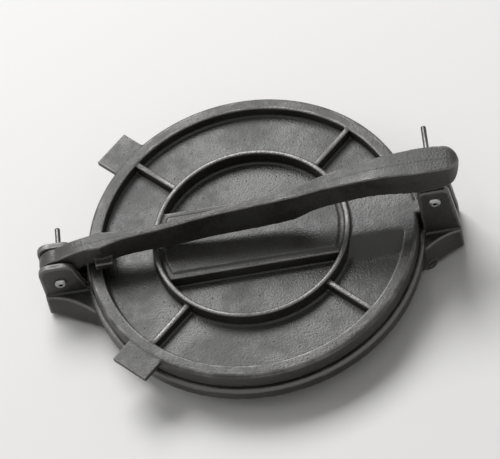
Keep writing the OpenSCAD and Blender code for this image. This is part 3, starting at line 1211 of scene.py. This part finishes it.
@dataclass(frozen=True)
class Hardware:
    """The two bolts with their nuts and washers, and the washers inside the forks.

    Args:
        forks: The forks, as the names of their nodes start.
        sides: The sides of a fork that hold a washer, as the names of these washers end.
    """

    forks: tuple[str, ...] = ("lever", "hinge")
    sides: tuple[str, ...] = ("front", "rear")

    def build(self, finishes: Finishes) -> None:
        """Builds and dresses every piece of it.

        Args:
            finishes: The materials.
        """
        tree = ThreadTree(finishes.by_slot[Slot.ZINC_STEEL])
        pieces: list[TurnedPiece] = []
        for fork in self.forks:
            bolt = fork + "_bolt"
            pieces += [DomeBolt(bolt, tree), HexNut(bolt + "_nut"), PressedWasher(bolt + "_washer")]
        pieces += [PressedWasher(f"{fork}_washer_{side}") for fork in self.forks for side in self.sides]
        for piece in pieces:
            piece.build(finishes)


# ---- Feet ---------------------------------------------------------------------------------------


@dataclass(frozen=True)
class RubberFoot(TurnedPiece):
    """A moulded rubber foot with a groove round it and a seat inside for its screw's head."""

    edge: float = 0.9 * MM
    edge_steps: int = 5
    groove: float = 0.35 * MM
    groove_share: float = 0.45
    top_edge: float = 0.3 * MM
    mouth: float = 0.4 * MM
    head_room: float = 3.95 * MM
    screw_room: float = 2.2 * MM
    grip: float = 1.6 * MM

    slot: ClassVar[Slot] = Slot.RUBBER
    ending: ClassVar[str] = "_moulded"
    closed: ClassVar[bool] = True
    upright: ClassVar[bool] = True

    def rings(self) -> list[Ring]:
        """Draws the foot up the outside and back down through the seat.

        Returns:
            Its rings in order.
        """
        middle = self.length * self.groove_share
        sole = (0.0, self.radius - self.edge), (self.edge, self.radius)
        return [
            *quarter_round(*sole, self.edge_steps),
            Ring(middle - self.groove, self.radius),
            Ring(middle, self.radius - self.groove),
            Ring(middle + self.groove, self.radius),
            Ring(self.length - self.top_edge, self.radius),
            Ring(self.length, self.radius - self.top_edge),
            Ring(self.length, self.screw_room),
            Ring(self.length - self.grip, self.screw_room),
            Ring(self.length - self.grip, self.head_room),
            Ring(self.mouth, self.head_room),
            Ring(0.0, self.head_room + self.mouth),
        ]


@dataclass(frozen=True)
class FootScrew(TurnedPiece):
    """A pan-head screw with a cross recess, whose head points down.

    Args:
        recess: Each ring of the recess: its depth, and its half width and its reach as shares.
        dome: Each ring of the dome: its height, and its radius as a share of the head's.
    """

    head_height: float = 2.2 * MM
    head_edge: float = 0.15 * MM
    shank_radius: float = 2.0 * MM
    cross_half: float = 0.45 * MM
    cross_reach: float = 0.6
    recess_floor: float = 1.1 * MM
    recess: tuple[tuple[float, float, float], ...] = (
        (1.0 * MM, 0.8, 0.7), (0.1 * MM, 1.0, 1.0), (0.0, 1.2, 1.05),
    )
    crown_share: float = 1.25
    dome: tuple[tuple[float, float], ...] = ((0.25 * MM, 0.86), (0.6 * MM, 0.96), (1.1 * MM, 1.0))
    tip_length: float = 0.8 * MM
    tip_share: float = 0.6

    upright: ClassVar[bool] = True

    def rings(self) -> list[Ring]:
        """Draws the screw from the recess's floor, over the head and up to the tip.

        Returns:
            Its rings in order.
        """
        arm = self.radius * self.cross_reach
        return [
            Ring(self.recess_floor, 0.0),
            *(Ring(depth, self.cross_half * half, Outline.CROSS, arm * reach)
              for depth, half, reach in self.recess),
            Ring(0.0, arm * self.crown_share),
            *(Ring(height, self.radius * share) for height, share in self.dome),
            Ring(self.head_height - self.head_edge, self.radius),
            Ring(self.head_height, self.radius - self.head_edge),
            Ring(self.head_height, self.shank_radius),
            Ring(self.length - self.tip_length, self.shank_radius),
            Ring(self.length, self.shank_radius * self.tip_share),
            Ring(self.length, 0.0),
        ]


@dataclass(frozen=True)
class Feet:
    """The four feet and their screws.

    Args:
        corners: The corners that the feet stand at, as the names of their nodes end.
    """

    corners: tuple[str, ...] = ("left_front", "left_rear", "right_front", "right_rear")

    def build(self, finishes: Finishes) -> None:
        """Builds and dresses every foot and its screw.

        Args:
            finishes: The materials.
        """
        for corner in self.corners:
            RubberFoot("foot_" + corner).build(finishes)
            FootScrew("foot_screw_" + corner).build(finishes)


# ---- Studio -------------------------------------------------------------------------------------


@dataclass(frozen=True)
class Camera:
    """The camera, rolled so that the lever rises to the right.

    Args:
        azimuth: How far it stands round from the front.
        elevation: How steeply it looks down.
        roll: How far it is turned about its own axis.
        distance: How far it stands from its target.
        lens: Its focal length in millimetres.
        sensor_width: Its sensor's width in millimetres.
        clip_start: The nearest distance at which it sees things.
        target: The point that it looks at.
    """

    azimuth: float = math.radians(8.0)
    elevation: float = math.radians(55.0)
    roll: float = math.radians(-16.0)
    distance: float = 2.4
    lens: float = 228.0
    sensor_width: float = 36.0
    clip_start: float = 0.01
    target: Place = (0.0, 0.0, 0.045)

    def build(self) -> None:
        """Sets up the camera."""
        back = Vector((
            math.sin(self.azimuth) * math.cos(self.elevation),
            -math.cos(self.azimuth) * math.cos(self.elevation),
            math.sin(self.elevation),
        ))
        right = Vector((math.cos(self.azimuth), math.sin(self.azimuth), 0.0))
        up = back.cross(right)
        across = math.cos(self.roll) * right + math.sin(self.roll) * up
        above = -math.sin(self.roll) * right + math.cos(self.roll) * up
        data = bpy.data.cameras.new("front_camera")
        data.lens = self.lens
        data.sensor_width = self.sensor_width
        data.clip_start = self.clip_start
        made = add_object("front_camera", data)
        turn = Matrix((across, above, back)).transposed().to_4x4()
        made.matrix_world = Matrix.Translation(Vector(self.target) + back * self.distance) @ turn
        bpy.context.scene.camera = made


@dataclass(frozen=True)
class Floor:
    """A plain pale floor that fades out far from the press and is seen from above only.

    Args:
        size: Its length and width.
        whole: The distance from the origin up to which it is solid.
        gone: The distance from which nothing of it is left.
        colour: Its colour.
        roughness: Its roughness.
    """

    size: float = 12.0
    whole: float = 0.45
    gone: float = 1.3
    colour: Colour = (0.78, 0.775, 0.76)
    roughness: float = 0.9

    def material(self) -> bpy.types.Material:
        """Builds the floor's material.

        Returns:
            The material.
        """
        surface = Surface("pale_floor")
        away = surface.node("ShaderNodeVectorMath", {0: surface.where}, operation="LENGTH")
        solid = surface.ramp(away.outputs["Value"], self.gone, self.whole)
        below = surface.node("ShaderNodeNewGeometry").outputs["Backfacing"]
        surface.feed({
            "Base Color": opaque(self.colour),
            "Roughness": self.roughness,
            "Alpha": surface.times(solid, surface.maths("SUBTRACT", 1.0, below)),
        })
        return surface.material

    def build(self) -> None:
        """Lays the floor."""
        half = self.size / 2
        corners = [(-half, -half, 0), (half, -half, 0), (half, half, 0), (-half, half, 0)]
        mesh = bpy.data.meshes.new("floor")
        mesh.from_pydata(corners, [], [(0, 1, 2, 3)])
        mesh.materials.append(self.material())
        piece = add_object("floor", mesh)


@dataclass(frozen=True)
class SoftBox:
    """A soft box that points at the press.

    Args:
        name: Its name.
        place: Where it hangs.
        size: Its width and height.
        power: Its power in watts.
        aim: The point that it faces.
    """

    name: str
    place: Place
    size: tuple[float, float]
    power: float
    aim: Place = (0.0, 0.0, 0.03)

    def build(self) -> None:
        """Hangs the soft box."""
        data = bpy.data.lights.new(self.name, "AREA")
        data.shape = "RECTANGLE"
        data.size, data.size_y = self.size
        data.energy = self.power
        lamp = add_object(self.name, data)
        place = Vector(self.place)
        turn = (place - Vector(self.aim)).to_track_quat("Z", "Y").to_matrix().to_4x4()
        lamp.matrix_world = Matrix.Translation(place) @ turn


@dataclass(frozen=True)
class Surroundings:
    """White surroundings that light a little and look brighter to the camera and in reflections.

    Args:
        light: How strongly they light.
        shown: How much more strongly they show.
    """

    light: float = 0.24
    shown: float = 0.56

    def build(self) -> None:
        """Sets up the surroundings."""
        world = bpy.data.worlds.new("studio_world")
        world.use_nodes = True
        world.node_tree.nodes.clear()
        wires = Wiring(world.node_tree)
        path = wires.node("ShaderNodeLightPath").outputs
        seen = wires.maths("MAXIMUM", path["Is Camera Ray"], path["Is Transmission Ray"])
        seen = wires.maths("MAXIMUM", seen, path["Is Glossy Ray"])
        strength = wires.plus(self.light, wires.times(seen, self.shown))
        white = wires.node("ShaderNodeBackground", {"Color": opaque((1.0, 1.0, 1.0)), "Strength": strength})
        wires.node("ShaderNodeOutputWorld", {"Surface": white.outputs["Background"]})
        bpy.context.scene.world = world


@dataclass(frozen=True)
class Studio:
    """The camera, the floor, a broad lamp above and behind with two weak ones, and the surroundings."""

    camera: Camera = Camera()
    floor: Floor = Floor()
    lamps: tuple[SoftBox, ...] = (
        SoftBox("key_box", place=(-0.70, 1.90, 2.50), size=(2.1, 1.4), power=104.0),
        SoftBox("left_box", place=(-2.4, 0.5, 1.5), size=(1.3, 1.3), power=12.0),
        SoftBox("fill_box", place=(1.2, -2.4, 1.8), size=(1.8, 1.4), power=2.5),
    )
    surroundings: Surroundings = Surroundings()

    def build(self) -> None:
        """Sets up the whole studio."""
        for item in (self.camera, self.floor, *self.lamps, self.surroundings):
            item.build()
        bpy.context.scene.view_settings.view_transform = "Standard"


def main() -> None:
    """Builds the studio and the press in order."""
    logging.basicConfig(level=logging.INFO, format="%(name)s: %(message)s")
    Studio().build()
    finishes = Finishes()
    for assembly in (Castings(), Hardware(), Feet()):
        assembly.build(finishes)


if __name__ == "__main__":
    main()
